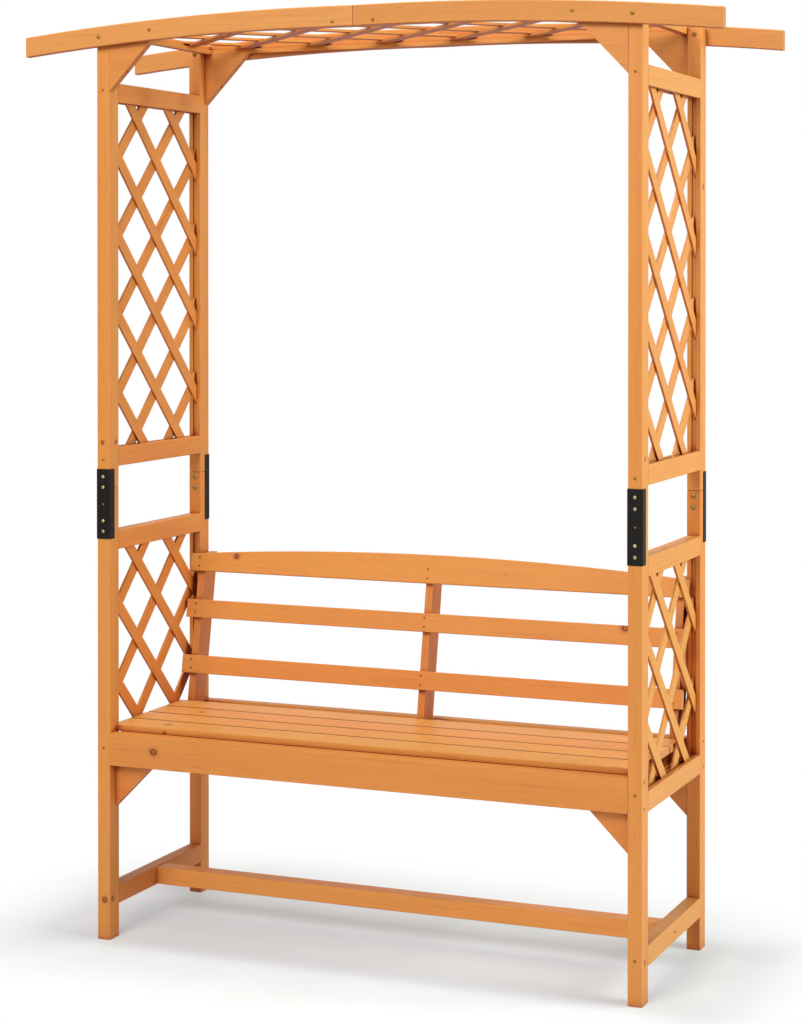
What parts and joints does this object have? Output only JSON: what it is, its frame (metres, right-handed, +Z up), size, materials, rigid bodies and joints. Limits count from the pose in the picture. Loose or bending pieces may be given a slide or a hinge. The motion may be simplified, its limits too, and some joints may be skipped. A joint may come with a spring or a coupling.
{
  "type": "arbour seat",
  "caption": "Timber garden arbour seat: diagonal lattice side frames, slatted bench with a leaning back, and a shallow arched lattice roof on black-bracketed posts.",
  "frame": {"origin": "on the ground, at the middle of the plan", "axes": "+Z up; the bench faces -Y; the lattice sides stand at -X and +X"},
  "size_m": [1.572, 0.5086, 2.0089],
  "materials": {
    "frame_timber": "honey-stained softwood, satin",
    "bench_timber": "honey-stained softwood, satin",
    "lattice_strips": "honey-stained thin softwood, satin",
    "black_steel": "matte black powder coat",
    "zinc_fasteners": "yellow zinc plate",
    "dark_screws": "dark plate"
  },
  "bodies": {
    "root": {"beam_bolts": "zinc_fasteners", "bracket_screws": "zinc_fasteners", "crest_rail": "bench_timber", "foot_stretcher": "frame_timber", "frame_screws": "zinc_fasteners", "front_apron": "frame_timber", "front_ledger": "frame_timber", "front_left_beam": "frame_timber", "front_right_beam": "frame_timber", "front_seat_cleat": "frame_timber", "lap_bolts": "zinc_fasteners", "left_arm_rail": "frame_timber", "left_back_upright": "frame_timber", "left_foot_rail": "frame_timber", "left_front_lower_post": "frame_timber", "left_front_splice_bracket": "black_steel", "left_front_upper_post": "frame_timber", "left_lower_lattice": "lattice_strips", "left_panel_rail": "frame_timber", "left_rear_lower_post": "frame_timber", "left_rear_splice_bracket": "black_steel", "left_rear_upper_post": "frame_timber", "left_roof_end_rail": "frame_timber", "left_seat_bearer": "frame_timber", "left_seat_rail": "frame_timber", "left_top_rail": "frame_timber", "left_upper_lattice": "lattice_strips", "lower_back_rail": "bench_timber", "middle_back_rail": "bench_timber", "middle_back_upright": "frame_timber", "middle_seat_bearer": "frame_timber", "rear_apron": "frame_timber", "rear_ledger": "frame_timber", "rear_left_beam": "frame_timber", "rear_right_beam": "frame_timber", "right_arm_rail": "frame_timber", "right_back_upright": "frame_timber", "right_foot_rail": "frame_timber", "right_front_lower_post": "frame_timber", "right_front_splice_bracket": "black_steel", "right_front_upper_post": "frame_timber", "right_lower_lattice": "lattice_strips", "right_panel_rail": "frame_timber", "right_rear_lower_post": "frame_timber", "right_rear_splice_bracket": "black_steel", "right_rear_upper_post": "frame_timber", "right_roof_end_rail": "frame_timber", "right_seat_bearer": "frame_timber", "right_seat_rail": "frame_timber", "right_top_rail": "frame_timber", "right_upper_lattice": "lattice_strips", "roof_lattice": "lattice_strips", "seat_gussets": "frame_timber", "seat_slat_1": "bench_timber", "seat_slat_2": "bench_timber", "seat_slat_3": "bench_timber", "seat_slat_4": "bench_timber", "top_gussets": "frame_timber", "wood_screws": "dark_screws"}
  },
  "joints": []
}
